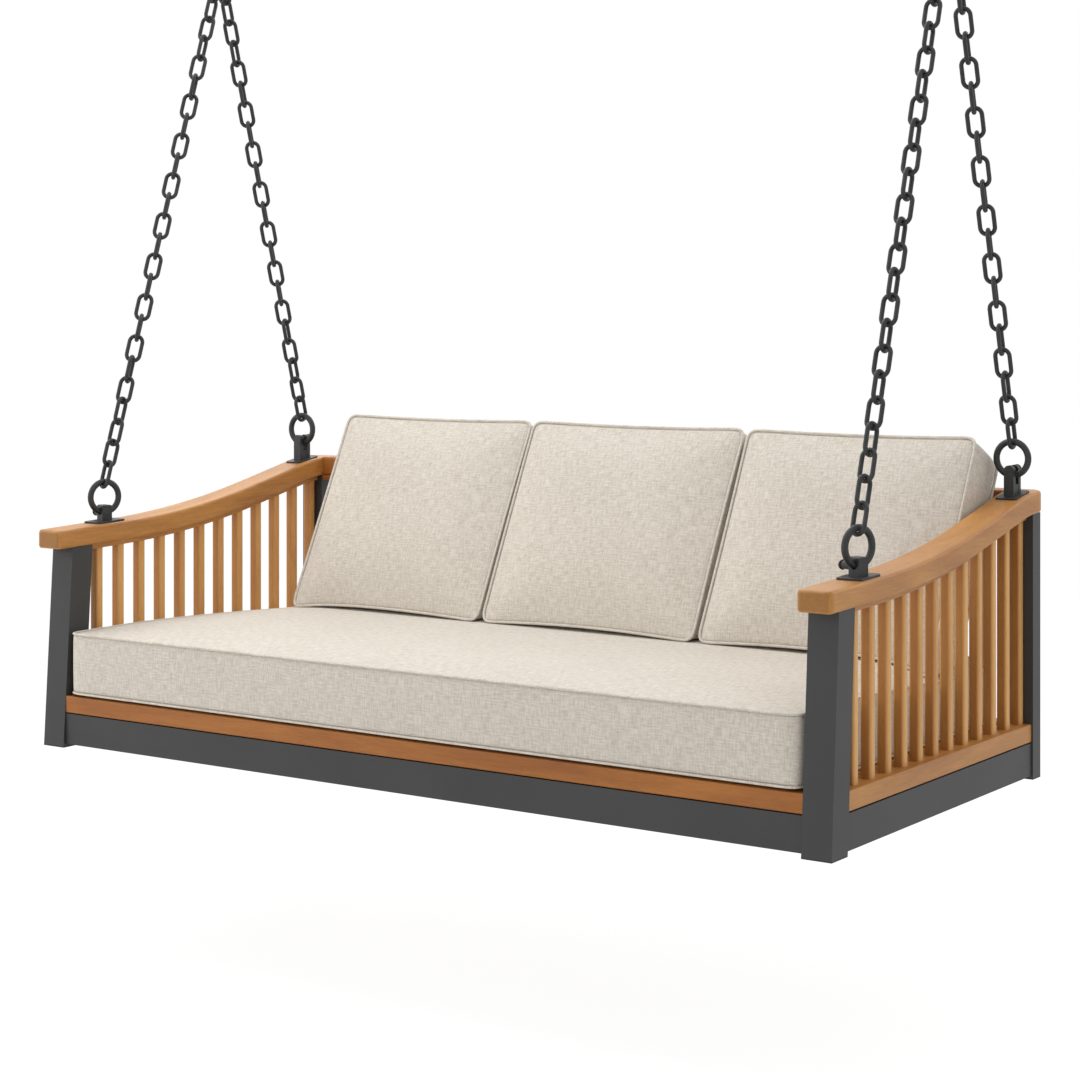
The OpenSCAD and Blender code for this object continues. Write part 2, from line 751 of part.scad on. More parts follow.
// A link about the origin, its long axis along Z in the plane of X and Z
module link(length) {
    bend = (link_w - link_wire) / 2;
    half = (length - link_w) / 2;
    for (s = [-1, 1]) {
        translate([s * bend, 0, -half]) cylinder(d = link_wire, h = 2 * half, $fn = 24);
        translate([0, 0, s * half]) rotate([90, 0, s < 0 ? 180 : 0]) rotate([0, 0, s < 0 ? 180 : 0])
            rotate_extrude(angle = 180, $fn = 48) translate([bend, 0]) circle(link_wire / 2, $fn = 24);
    }
}

// A taut chain from the ring at a hanger, at [y, z], to the ceiling ring. Its links turn by
// quarters, and a twist runs in over the first and last few of them.
twist_links = 6;
module chain(side, end, links, turn, start_turn, twist, slack) {
    along = chain_top - end;
    span = norm(along) - ring_mean;
    angle = atan2(along[0], along[1]);
    step_in = (ring_wire + link_wire) / 2 + ring_touch;
    overlap = link_wire + touch;
    length = (span + step_in * (1 + 1 / slack) + (links - 1) * overlap) / links + link_wire;
    pitch = length - link_wire - overlap;
    color(black) on_bed() translate([side * hang_x / 2, end[0], end[1]]) rotate([-angle, 0, 0])
        for (i = [0:links - 1])
            let (ramp = min(1, i / twist_links), out = min(1, (links - 1 - i) / twist_links))
                translate([0, 0, (length - link_wire) / 2 - step_in / slack + i * pitch])
                    rotate([0, 0, turn + 90 * i + (start_turn * (1 - ramp) + twist * ramp) * out])
                        link(length);
}

// The front links lean along the ring's rod, which takes a little more room
front_angle = atan2(chain_top[0] - front_end[0], chain_top[1] - front_end[1]);
module chain_front(side, twist) {
    chain(side, front_end, front_links, 0, front_turn, twist, cos(front_angle));
}

module chain_rear(side, twist) {
    chain(side, rear_end, rear_links, 90, 0, twist, 1);
}

// ---------------------------------------------------------------- cushions

// The outline of a cushion at scale 1: a rectangle with round corners whose sides draw in
// between the corners. The points go round once: three on each corner, then n along its side.
function cushion_outline(w, h, r, pull, n) = [for (side = [0:3])
    let (lx = side % 2 == 0 ? w : h, ly = side % 2 == 0 ? h : w, turn = 90 * side)
        each [for (i = [0:n + 2])
            let (
                b = 30 * i, a = -lx / 2 + r + (lx - 2 * r) * (i - 3) / n,
                p = i < 3 ? [-lx / 2 + r * (1 - cos(b)), -ly / 2 + r * (1 - sin(b))]
                    : [a, -ly / 2 + pull * (1 - pow(2 * a / lx, 2))])
            [p[0] * cos(turn) - p[1] * sin(turn), p[0] * sin(turn) + p[1] * cos(turn)]]];

// The swell of a face at a point of it, from 0 at the piping to 1 over most of the face
function swell(x, y, w, h) = (1 - pow(min(1, abs(2 * x / w)), 4)) * (1 - pow(min(1, abs(2 * y / h)), 4));

// A box cushion about the origin, w by h by t, with crowned faces; its face steps are scales
// of the outline from the middle outwards
face_steps = [0.12, 0.34, 0.54, 0.7, 0.82, 0.91, 0.97];
module cushion(w, h, t, crown_top, crown_under, r, pull, n) {
    outline = reversed(cushion_outline(w, h, r, pull, n));
    face = function (z, crown, scales) [for (s = scales)
        [for (p = outline) [p[0] * s, p[1] * s, z + crown * swell(p[0] * s, p[1] * s, w, h)]]];
    wall = function (z, out) [for (p = outline)
        [p[0] * (1 + out / w * 2), p[1] * (1 + out / h * 2), z]];
    loft(concat(
        face(-t / 2, -crown_under, face_steps),
        [wall(-t / 2, 0), wall(-t / 2 + 10, -4), wall(0, 1), wall(t / 2 - 10, -4), wall(t / 2, 0)],
        face(t / 2, crown_top, reversed(face_steps))));
}

module seat_cushion() {
    color(linen) on_bed() translate([0, seat_y + seat_depth / 2, seat_z + seat_t / 2])
        cushion(seat_len, seat_depth, seat_t, seat_crown, 0, seat_r, 2, 11);
}

// A back cushion leans on the back's top rail, and its foot lies flat on the seat cushion, at
// the height of the seat's crown a little inside the foot's corner
foot_in = 50;
module back_cushion(index) {
    x = cushion_right - index * cushion_pitch;
    near_x = max(0, abs(x) - cushion_w / 2 + foot_in);
    near_y = cushion_y - seat_y - seat_depth / 2 + foot_in / 2;
    foot_z = seat_z + seat_t + touch
        + seat_crown * swell(near_x, max(0, near_y), seat_len, seat_depth);
    color(linen) on_bed() intersection() {
        translate([x, cushion_y, seat_top]) rotate([-cushion_lean, 0, 0])
            translate([0, cushion_t / 2, cushion_h / 2]) rotate([90, 0, 0])
                cushion(cushion_w, cushion_h, cushion_t, cushion_crown, cushion_bulge, cushion_r, 4, 10);
        translate([-bed_len / 2, 0, foot_z]) cube([bed_len, bed_depth + 50, 2 * cushion_h]);
    }
}

ceiling_plate(-1);  // ceiling_plate_left
ceiling_plate(1);  // ceiling_plate_right
ceiling_pin(-1);  // ceiling_pin_left
ceiling_pin(1);  // ceiling_pin_right
top_ring(-1);  // top_ring_left
top_ring(1);  // top_ring_right
chain_front(-1, 40);  // chain_front_left
chain_front(1, 0);  // chain_front_right
chain_rear(-1, 35);  // chain_rear_left
chain_rear(1, 18);  // chain_rear_right
ring_front(-1);  // ring_front_left
ring_front(1);  // ring_front_right
ring_rear(-1);  // ring_rear_left
ring_rear(1);  // ring_rear_right
hanger_front(-1);  // hanger_front_left
hanger_front(1);  // hanger_front_right
hanger_rear(-1);  // hanger_rear_left
hanger_rear(1);  // hanger_rear_right
hanger_pin_front(-1);  // hanger_pin_front_left
hanger_pin_front(1);  // hanger_pin_front_right
hanger_pin_rear(-1);  // hanger_pin_rear_left
hanger_pin_rear(1);  // hanger_pin_rear_right
hanger_screws();
arm(-1);  // arm_left
arm(1);  // arm_right
arm_sub_rail(-1);  // arm_sub_rail_left
arm_sub_rail(1);  // arm_sub_rail_right
side_slats(-1);  // side_slats_left
side_slats(1);  // side_slats_right
side_rail(-1);  // side_rail_left
side_rail(1);  // side_rail_right
front_rail();
rear_rail();
back_top_rail();
back_sub_rail();
back_slats();
post_front(-1);  // post_front_left
post_front(1);  // post_front_right
post_rear(-1);  // post_rear_left
post_rear(1);  // post_rear_right
foot_plugs();
apron_front();
apron_rear();
apron_side(-1);  // apron_left
apron_side(1);  // apron_right
cross_members();
centre_bearer();
deck_ledgers();
deck_slats();
seat_cushion();
back_cushion(2);  // back_cushion_left
back_cushion(1);  // back_cushion_middle
back_cushion(0);  // back_cushion_right
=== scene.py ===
import math

import bmesh
import bpy
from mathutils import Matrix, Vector, noise
from mathutils.bvhtree import BVHTree
from mathutils.kdtree import KDTree


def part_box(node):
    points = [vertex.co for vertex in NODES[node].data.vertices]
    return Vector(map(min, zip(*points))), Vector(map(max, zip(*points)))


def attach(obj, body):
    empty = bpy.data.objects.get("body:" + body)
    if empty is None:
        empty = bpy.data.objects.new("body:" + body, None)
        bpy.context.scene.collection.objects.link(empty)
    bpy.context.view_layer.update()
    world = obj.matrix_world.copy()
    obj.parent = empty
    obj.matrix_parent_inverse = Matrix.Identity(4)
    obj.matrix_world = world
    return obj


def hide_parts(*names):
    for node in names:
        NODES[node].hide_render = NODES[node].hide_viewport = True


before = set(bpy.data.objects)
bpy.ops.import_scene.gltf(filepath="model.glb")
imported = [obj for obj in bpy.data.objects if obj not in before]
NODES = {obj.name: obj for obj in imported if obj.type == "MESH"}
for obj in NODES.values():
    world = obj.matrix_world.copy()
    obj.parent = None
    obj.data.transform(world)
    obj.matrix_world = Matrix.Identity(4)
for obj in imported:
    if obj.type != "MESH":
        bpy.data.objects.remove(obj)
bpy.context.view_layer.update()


# ---------------------------------------------------------------- camera

def place_camera():
    """The photograph's viewpoint: level, turned to the bed from its right, with a lowered frame."""
    data = bpy.data.cameras.new("camera")
    data.sensor_width = 36
    data.lens = 79.85
    data.shift_y = -0.2258
    camera = bpy.data.objects.new("camera", data)
    camera.location = (3.0674, -4.4694, -0.8773)
    camera.rotation_euler = (math.radians(90), 0, math.radians(34.62))
    bpy.context.collection.objects.link(camera)
    bpy.context.scene.camera = camera


place_camera()


# ---------------------------------------------------------------- shader kit

class Value:
    """A shader socket that takes part in Python expressions."""

    def __init__(self, finish, socket):
        self.finish = finish
        self.socket = socket

    def math(self, operation, *values):
        return self.finish.add("ShaderNodeMath", {"operation": operation},
                               dict(enumerate(values)))

    def __add__(self, other):
        return self.math("ADD", self, other)

    __radd__ = __add__

    def __sub__(self, other):
        return self.math("SUBTRACT", self, other)

    def __rsub__(self, other):
        return self.math("SUBTRACT", other, self)

    def __mul__(self, other):
        return self.math("MULTIPLY", self, other)

    __rmul__ = __mul__

    def __truediv__(self, other):
        return self.math("DIVIDE", self, other)

    def __gt__(self, other):
        return self.math("GREATER_THAN", self, other)

    def sine(self):
        return self.math("SINE", self)

    def floor(self):
        return self.math("FLOOR", self)

    def size(self):
        return self.math("ABSOLUTE", self)


class Nodes:
    """A node tree and the calls that build it."""

    def __init__(self, tree):
        self.tree = tree

    def add(self, kind, settings=None, sockets=None, output=0):
        """Adds a node: its settings first, then the values or links of its sockets."""
        node = self.tree.nodes.new(kind)
        for name, value in (settings or {}).items():
            setattr(node, name, value)
        for key, value in (sockets or {}).items():
            self.feed(node.inputs[key], value)
        return Value(self, node.outputs[output]) if node.outputs else None

    def feed(self, socket, value):
        if isinstance(value, Value):
            self.tree.links.new(value.socket, socket)
        else:
            socket.default_value = value

    def white_rays(self):
        """1 for the rays that show the surround as plain white, 0 for those that light."""
        rays = self.add("ShaderNodeLightPath").socket.node.outputs
        camera, glossy, clear = (
            Value(self, rays[name])
            for name in ("Is Camera Ray", "Is Glossy Ray", "Is Transmission Ray"))
        return camera + glossy + clear


class Finish(Nodes):
    """One material."""

    def __init__(self, name):
        self.material = bpy.data.materials.new(name)
        self.material.use_nodes = True
        super().__init__(self.material.node_tree)
        self.shader = self.tree.nodes["Principled BSDF"]

    def surface(self, **values):
        """Sets the shader's sockets, their names with underscores for spaces."""
        for name, value in values.items():
            self.feed(self.shader.inputs[name.replace("_", " ")], value)

    def place(self, scale=(1, 1, 1)):
        """The piece's own coordinates, scaled."""
        where = self.add("ShaderNodeTexCoord", output=3)
        return self.add("ShaderNodeMapping", {"vector_type": "POINT"},
                        {"Vector": where, "Scale": scale})

    def noise(self, vector, scale, detail=2.0, roughness=0.5, distortion=0.0):
        return self.add("ShaderNodeTexNoise", {}, {
            "Vector": vector, "Scale": scale, "Detail": detail, "Roughness": roughness,
            "Distortion": distortion})

    def spread(self, value, low, high, to_low=0.0, to_high=1.0):
        """Maps a range of a value to another range, held at its ends."""
        return self.add("ShaderNodeMapRange", {"clamp": True}, {
            "Value": value, "From Min": low, "From Max": high, "To Min": to_low,
            "To Max": to_high})

    def mix(self, factor, first, second, blend="MIX"):
        return self.add("ShaderNodeMix", {"data_type": "RGBA", "blend_type": blend},
                        {0: factor, 6: first, 7: second}, output=2)

    def bump(self, height, distance, strength):
        return self.add("ShaderNodeBump", {}, {
            "Height": height, "Distance": distance, "Strength": strength})

    def axis(self, vector, index):
        return self.add("ShaderNodeSeparateXYZ", {}, {0: vector}, output=index)


def rgb(red, green, blue):
    return (red, green, blue, 1.0)


# ---------------------------------------------------------------- materials

def teak(name, along, light, dark, slat_pitch=None, slat_axis=0, unshaded_axis=None):
    """Oiled teak with its grain along an axis (0, 1 or 2), darker on the end grain. Slats of
    one node differ a little in tone, told apart by their place along slat_axis. Painted shade:
    the faces that do not look along the unshaded axis, those between the slats, are darkened by
    SLAT_SHADE."""
    finish = Finish(name)
    stretch = [1.0, 1.0, 1.0]
    stretch[along] = 0.055
    fine = finish.place(scale=stretch)
    stretch[along] = 0.16
    broad = finish.place(scale=stretch)
    rings = finish.noise(broad, 21.0, 3.0, 0.55, 0.6)
    lines = finish.noise(fine, 260.0, 4.0, 0.62)
    pores = finish.spread(finish.noise(fine, 900.0, 2.0, 0.7), 0.56, 0.72)
    tone = finish.spread(rings, 0.3, 0.7) * 0.62 + finish.spread(lines, 0.3, 0.7) * 0.38
    if slat_pitch:
        where = finish.add("ShaderNodeTexCoord", output=3)
        index = (finish.axis(where, slat_axis) / slat_pitch).floor()
        own = finish.add("ShaderNodeTexWhiteNoise", {"noise_dimensions": "1D"}, {"W": index})
        tone = tone * 0.72 + own * 0.28
    color = finish.mix(tone, rgb(*dark), rgb(*light))
    color = finish.mix(pores * 0.35, color, rgb(*[c * 0.42 for c in dark]))
    facing = finish.add("ShaderNodeNewGeometry", output=1)
    # painted shade: faces turned from the unshaded axis, towards the neighbouring slats, are
    # multiplied by SLAT_SHADE
    if unshaded_axis is not None:
        shaded = finish.spread(finish.axis(facing, unshaded_axis).size(), 0.1, 0.8, 1.0, 0.0)
        color = finish.mix(shaded, color, rgb(*SLAT_SHADE), "MULTIPLY")
    end_grain = finish.spread(finish.axis(facing, along).size(), 0.8, 0.95)
    end_rings = finish.noise(finish.place(), 160.0, 4.0, 0.7)
    end_color = finish.mix(end_rings, rgb(*[c * 0.5 for c in dark]),
                           rgb(*[c * 0.72 for c in light]))
    color = finish.mix(end_grain * 0.75, color, end_color)
    finish.surface(
        Base_Color=color,
        Roughness=0.36 + lines * 0.16,
        Normal=finish.bump(lines * 0.7 + pores * -0.6, 0.0004, 0.55),
        Specular_IOR_Level=0.42)
    return finish.material


def coated_metal():
    """Charcoal powder coat with its fine orange-peel grain."""
    finish = Finish("charcoal_coat")
    where = finish.place()
    grain = finish.noise(where, 1500.0, 2.0, 0.6)
    cloud = finish.noise(where, 5.0, 2.0)
    color = finish.mix(finish.spread(cloud, 0.3, 0.7), rgb(0.034, 0.034, 0.0345),
                       rgb(0.042, 0.042, 0.042))
    finish.surface(
        Base_Color=color,
        Roughness=0.46 + grain * 0.16,
        Normal=finish.bump(grain, 0.00025, 0.35),
        Specular_IOR_Level=0.45)
    return finish.material


def black_steel():
    """Black-finished steel of the chains and hangers, a little brighter and rougher in soft random
    patches.
    """
    finish = Finish("black_steel")
    where = finish.place()
    grain = finish.noise(where, 700.0, 3.0, 0.6)
    cloud = finish.noise(where, 60.0, 2.0)
    color = finish.mix(finish.spread(cloud, 0.35, 0.7), rgb(0.022, 0.022, 0.023),
                       rgb(0.036, 0.037, 0.038))
    finish.surface(
        Base_Color=color,
        Metallic=0.25,
        Roughness=0.4 + cloud * 0.14 + grain * 0.08,
        Normal=finish.bump(grain, 0.0003, 0.4),
        Specular_IOR_Level=0.5)
    return finish.material


def black_plastic():
    finish = Finish("black_plastic")
    grain = finish.noise(finish.place(), 900.0, 2.0, 0.6)
    finish.surface(
        Base_Color=finish.mix(grain, rgb(0.018, 0.018, 0.018), rgb(0.03, 0.03, 0.03)),
        Roughness=0.55 + grain * 0.15,
        Normal=finish.bump(grain, 0.0003, 0.3))
    return finish.material


def linen(name, own_uv=True):
    """Heathered natural linen: a plain weave of slubby threads, laid out in metres on the
    piece's UVs, or else on its own coordinates."""
    finish = Finish(name)
    if own_uv:
        where = finish.add("ShaderNodeUVMap", {"uv_map": "weave"})
    else:
        where = finish.add("ShaderNodeTexCoord", output=3)

    def threads(*scale):
        stretched = finish.add("ShaderNodeMapping", {}, {"Vector": where, "Scale": scale})
        return finish.noise(stretched, 1.0, 2.0, 0.55)

    weft = threads(42.0, 330.0, 330.0)
    warp = threads(330.0, 42.0, 330.0)
    heather = threads(230.0, 230.0, 230.0)
    cloud = finish.noise(where, 7.0, 2.0)
    tone = (finish.spread(weft, 0.32, 0.68) + finish.spread(warp, 0.32, 0.68)) * 0.38 + (
        finish.spread(heather, 0.32, 0.68) * 0.1 + cloud * 0.14)
    color = finish.mix(finish.spread(tone, 0.2, 0.8), rgb(*LINEN_DARK), rgb(*LINEN_LIGHT))
    along = finish.axis(where, 0) * (math.pi / THREAD)
    over = finish.axis(where, 1) * (math.pi / THREAD)
    side = (along.sine() * over.sine()) > 0.0
    height = along.sine().size() * side + over.sine().size() * (1 - side)
    slubs = (weft + warp) * 0.5
    finish.surface(
        Base_Color=color,
        Roughness=0.86 + slubs * 0.1,
        Normal=finish.bump(height * 0.45 + slubs, 0.0006, 0.45),
        Specular_IOR_Level=0.25,
        Sheen_Weight=0.15,
        Sheen_Roughness=0.5,
        Sheen_Tint=rgb(1.0, 0.98, 0.95))
    return finish.material


# ---------------------------------------------------------------- the CAD nodes' finishes

ARM_LIGHT = (0.58, 0.272, 0.066)
ARM_DARK = (0.335, 0.128, 0.025)
# painted shade: the rails' teak is darker than the arms' teak, standing for the shade the cushions
# cast on the rails
RAIL_SHADED_LIGHT = (0.46, 0.168, 0.028)
RAIL_SHADED_DARK = (0.26, 0.080, 0.011)
SLAT_LIGHT = (0.80, 0.45, 0.155)
SLAT_DARK = (0.55, 0.258, 0.070)
# painted shade, multiplied onto the slat faces that look towards their neighbours
SLAT_SHADE = (0.62, 0.5, 0.36)
LINEN_LIGHT = (0.775, 0.727, 0.655)
LINEN_DARK = (0.548, 0.492, 0.416)
THREAD = 0.0011                        # the weave's threads, centre to centre
SIDE_PITCH = 0.068                     # the cells that give each slat its own tone
BACK_PITCH = 0.0683
DECK_PITCH = 0.0875


def dress_frame():
    """Gives every rigid node its finish, with the grain along its own length."""
    arm = teak("teak_arm", 1, ARM_LIGHT, ARM_DARK)
    side_rail = teak("teak_side_rail", 1, ARM_LIGHT, ARM_DARK)
    # painted shade: the rails, under the cushions, get the darker teak in place of their shadow
    rail = teak("teak_rail_shaded", 0, RAIL_SHADED_LIGHT, RAIL_SHADED_DARK)
    # the last argument is the unshaded axis; the slats' other faces get painted shade
    slats_side = teak("teak_side_slats", 2, SLAT_LIGHT, SLAT_DARK, SIDE_PITCH, 1, 0)
    slats_back = teak("teak_back_slats", 2, SLAT_LIGHT, SLAT_DARK, BACK_PITCH, 0, 1)
    slats_deck = teak("teak_deck_slats", 1, SLAT_LIGHT, SLAT_DARK, DECK_PITCH, 0)
    coat = coated_metal()
    steel = black_steel()
    plastic = black_plastic()
    finishes = {
        "arm": arm, "arm_sub_rail": side_rail, "side_rail": side_rail,
        "side_slats": slats_side, "back_slats": slats_back, "deck_slats": slats_deck,
        "front_rail": rail, "rear_rail": rail, "back_top_rail": rail,
        "back_sub_rail": rail, "deck_ledgers": rail,
        "post_front": coat, "post_rear": coat, "apron": coat, "cross_members": coat,
        "centre_bearer": coat, "foot_plugs": plastic}
    for name, node in NODES.items():
        keys = [key for key in finishes if name == key or name.startswith(key + "_")]
        finish = finishes[max(keys, key=len)] if keys else steel
        for slot in node.material_slots:
            slot.material = finish


dress_frame()


# ---------------------------------------------------------------- cushions

def rounded_plan(x, y, half_x, half_y, radius):
    """Moves a point of a rectangle so that the rectangle's corners become round."""
    over_x = abs(x) - (half_x - radius)
    over_y = abs(y) - (half_y - radius)
    if over_x <= 0 or over_y <= 0:
        return x, y
    reach = max(over_x, over_y) / math.hypot(over_x, over_y)
    return (math.copysign(half_x - radius + over_x * reach, x),
            math.copysign(half_y - radius + over_y * reach, y))


def gridded_box(size, cell):
    """A box of even quads about the origin, with its weave laid out in metres."""
    mesh = bmesh.new()
    bmesh.ops.create_cube(mesh, size=1.0)
    bmesh.ops.scale(mesh, vec=size, verts=mesh.verts)
    for axis in range(3):
        edges = [e for e in mesh.edges
                 if abs(abs((e.verts[0].co - e.verts[1].co)[axis]) - size[axis]) < 1e-6]
        bmesh.ops.subdivide_edges(mesh, edges=edges, cuts=max(2, round(size[axis] / cell)) - 1,
                                  use_grid_fill=True)
    weave = mesh.loops.layers.uv.new("weave")
    for face in mesh.faces:
        normal = [abs(n) for n in face.normal]
        flat = normal.index(max(normal))
        first, second = [(1, 2), (0, 2), (0, 1)][flat]
        for loop in face.loops:
            loop[weave].uv = (loop.vert.co[first] + flat * 0.37, loop.vert.co[second] + 0.61)
    return mesh


def rim_path(mesh, size, level):
    """The vertices of a box's rim at one level, in order round it."""
    half_x, half_y = size[0] / 2, size[1] / 2
    rim = {v for v in mesh.verts if abs(v.co.z - level) < 1e-5
           and (abs(abs(v.co.x) - half_x) < 1e-5 or abs(abs(v.co.y) - half_y) < 1e-5)}
    start = min(rim, key=lambda v: (v.co.x, v.co.y))
    path, last = [start], None
    while True:
        here = path[-1]
        steps = [e.other_vert(here) for e in here.link_edges
                 if e.other_vert(here) in rim and e.other_vert(here) is not last]
        step = steps[0]
        if step is start:
            break
        last = here
        path.append(step)
    return [v.index for v in path]


def swell(x, y, half_x, half_y):
    """1 at the middle of a face, 0 along its edges."""
    return (1 - min(1, abs(x / half_x)) ** 4) * (1 - min(1, abs(y / half_y)) ** 4)


def full_swell(x, y, half_x, half_y):
    """Rises steeply beside the seams, as a well-filled cushion does."""
    return swell(x, y, half_x, half_y) ** 0.62


def cushion_blank(size, cell, corner, crown_top, crown_under, pull, wall_bulge, form=swell):
    """A boxed cushion about the origin, before it is filled, and its two seams' vertices. Its
    foot and head pull in between the corners, by pull's two values, and form says how its
    faces rise."""
    mesh = gridded_box(size, cell)
    mesh.verts.index_update()
    half = [s / 2 for s in size]
    seams = [rim_path(mesh, size, half[2]), rim_path(mesh, size, -half[2])]
    for vert in mesh.verts:
        x, y, z = vert.co
        face = abs(abs(z) - half[2]) < 1e-6
        rise = form(x, y, half[0], half[1])
        side_y = (abs(y) / half[1]) ** 6 * (1 - (x / half[0]) ** 2)
        out = wall_bulge * (1 - (z / half[2]) ** 2)
        x, y = rounded_plan(x, y, half[0], half[1], corner)
        new_x = x * (1 + out * (abs(x) >= half[0] - corner) / half[0])
        inward = pull[y > 0] * side_y
        new_y = y * (1 - (inward - out * (abs(y) >= half[1] - corner)) / half[1])
        if face:
            z += rise * (crown_top if z > 0 else -crown_under)
        vert.co = (new_x, new_y, z)
    return mesh, seams


FILL_PRESSURE = 4.0
FILL_STEPS = 20


def seam_tree(mesh, seams):
    """Finds the nearest point of the seams."""
    tree = KDTree(sum(len(seam) for seam in seams))
    for seam in seams:
        for index in seam:
            tree.insert(mesh.vertices[index].co, index)
    tree.balance()
    return tree


def fill(piece, seams, reach):
    """Fills a cushion by a cloth simulation that is held at its seams, and caps each move."""
    held = piece.vertex_groups.new(name="seams")
    for seam in seams:
        held.add(seam, 1.0, "REPLACE")
    before = [v.co.copy() for v in piece.data.vertices]
    cloth = piece.modifiers.new("filling", "CLOTH")
    settings = cloth.settings
    settings.quality = 4
    settings.mass = 0.3
    settings.tension_stiffness = 8
    settings.compression_stiffness = 8
    settings.shear_stiffness = 3
    settings.bending_stiffness = 0.3
    settings.use_pressure = True
    settings.uniform_pressure_force = FILL_PRESSURE
    settings.vertex_group_mass = "seams"
    settings.effector_weights.gravity = 0
    cloth.collision_settings.use_collision = False
    scene = bpy.context.scene
    cloth.point_cache.frame_start = 1
    cloth.point_cache.frame_end = FILL_STEPS
    for step in range(1, FILL_STEPS + 1):
        scene.frame_set(step)
    depsgraph = bpy.context.evaluated_depsgraph_get()
    filled = piece.evaluated_get(depsgraph).to_mesh()
    moves = [v.co - start for v, start in zip(filled.vertices, before)]
    piece.evaluated_get(depsgraph).to_mesh_clear()
    piece.modifiers.remove(cloth)
    scene.frame_set(1)
    for vert, start, move in zip(piece.data.vertices, before, moves):
        length = move.length
        if length > 1e-9:
            move *= min(1.0, reach * (1 - math.exp(-length / reach)) / length)
        vert.co = start + move


def crumple(piece, seams, depth, spacing, width):
    """Small puckers that run out from the seams, and a slow unevenness of the filling."""
    mesh = piece.data
    tree = seam_tree(mesh, seams)
    normals = [v.normal.copy() for v in mesh.vertices]
    for vert, normal in zip(mesh.vertices, normals):
        place, _, distance = tree.find(vert.co)
        pucker = noise.noise(place / spacing) * math.exp(-distance / width)
        pucker *= min(1.0, distance / 0.006)
        slow = noise.noise(vert.co / 0.16 + Vector((3.1, 7.7, 1.3))) * min(1.0, distance / 0.05)
        vert.co += normal * (depth * pucker + depth * 1.5 * slow)


def cushion_mesh(name, blank, seams, reach):
    """The filled cushion as an object about the origin."""
    mesh = bpy.data.meshes.new(name)
    blank.to_mesh(mesh)
    blank.free()
    piece = bpy.data.objects.new(name, mesh)
    bpy.context.collection.objects.link(piece)
    fill(piece, seams, reach)
    return piece


def piping(name, paths, radius, material):
    """A welt cord along closed paths, as one mesh."""
    curve = bpy.data.curves.new(name, "CURVE")
    curve.dimensions = "3D"
    curve.bevel_depth = radius
    curve.bevel_resolution = 3
    for path in paths:
        spline = curve.splines.new("POLY")
        spline.points.add(len(path) - 1)
        for point, place in zip(spline.points, path):
            point.co = (*place, 1)
        spline.use_cyclic_u = True
    rope = bpy.data.objects.new(name, curve)
    bpy.context.collection.objects.link(rope)
    depsgraph = bpy.context.evaluated_depsgraph_get()
    mesh = bpy.data.meshes.new_from_object(rope.evaluated_get(depsgraph))
    bpy.data.objects.remove(rope)
    for face in mesh.polygons:
        face.use_smooth = True
    mesh.materials.clear()
    mesh.materials.append(material)
    piece = bpy.data.objects.new(name, mesh)
    bpy.context.collection.objects.link(piece)
    return piece


def smooth_path(points):
    """A closed path with its small kinks evened out."""
    for _ in range(2):
        points = [(points[i - 1] + points[i] * 2 + points[(i + 1) % len(points)]) / 4
                  for i in range(len(points))]
    return points


def finish_cushion(piece, seams, material, welt_material, radius, body, node):
    """Adds the welts and the last subdivision, and says what the cushion stands for."""
    mesh = piece.data
    for face in mesh.polygons:
        face.use_smooth = True
    mesh.materials.append(material)
    paths = []
    for seam in seams:
        normals = [mesh.vertices[i].normal for i in seam]
        paths.append(smooth_path([mesh.vertices[i].co + normal * radius * 0.5
                                  for i, normal in zip(seam, normals)]))
    welt = piping(piece.name + "_welt", paths, radius, welt_material)
    surface = piece.modifiers.new("surface", "SUBSURF")
    surface.levels = 1
    surface.render_levels = 1
    for part in (piece, welt):
        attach(part, body)
    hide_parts(node)


def ease(value, low, high):
    """0 at low, 1 at high, smooth between them."""
    share = min(1.0, max(0.0, (value - low) / (high - low)))
    return share * share * (3 - 2 * share)


def held_under(value, top, soft):
    """Eases a value that passes top - soft, so that it never reaches top."""
    over = value - (top - soft)
    return value if over <= 0 else top - soft * math.exp(-over / soft)


LINEN = linen("linen")
WELT = linen("linen_welt", own_uv=False)


def seat_cushion():
    """The seat cushion: its top sinks a little towards the rear at both ends."""
    low, high = (Vector(c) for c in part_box("seat_cushion"))
    bottom_seam, top_seam = low.z + 0.009, low.z + 0.1422
    size = (high.x - low.x - 0.006, high.y - low.y, top_seam - bottom_seam)
    blank, seams = cushion_blank(size, 0.0125, 0.027, 0.012, 0.016, (0.0, 0.0), 0.001)
    piece = cushion_mesh("seat_cushion_cover", blank, seams, 0.012)
    crumple(piece, seams, 0.0010, 0.035, 0.03)
    middle = Vector(((low.x + high.x) / 2, (low.y + high.y) / 2, (top_seam + bottom_seam) / 2))
    for vert in piece.data.vertices:
        x, y, z = vert.co + middle
        z = max(low.z, held_under(z, high.z - 0.0005, 0.004))
        back = max(0.0, (y - low.y - 0.192) / 0.586)
        end = ease(x, 0.86, 0.949) if x > 0 else ease(-x, 0.65, 0.949)
        z -= 0.025 * back ** 1.5 * end * min(1.0, max(0.0, (z - bottom_seam) / 0.12))
        vert.co = (min(max(x, low.x - 0.004), high.x + 0.004), y, z)
    piece.data.update()
    finish_cushion(piece, seams, LINEN, WELT, 0.0025, "seat_cushion", "seat_cushion")
    return piece


LEAN = math.radians(26.5)
FOOT_Y = 0.0195                        # where the back cushions' fronts meet the seat
BACK_HEIGHT = 0.504
BACK_DEPTH = 0.124
# How far each back cushion's left and right edges lie from their places, at the foot and at
# the head, and how far they bow between them
EDGE_SHIFT = {
    "left": ((-0.009, -0.010, 0.0025), (-0.003, -0.002, -0.0025)),
    "middle": ((-0.009, -0.0145, -0.001), (0.004, 0.009, -0.003)),
    "right": ((-0.002, -0.0005, 0.002), (0.0, 0.0, -0.0025))}


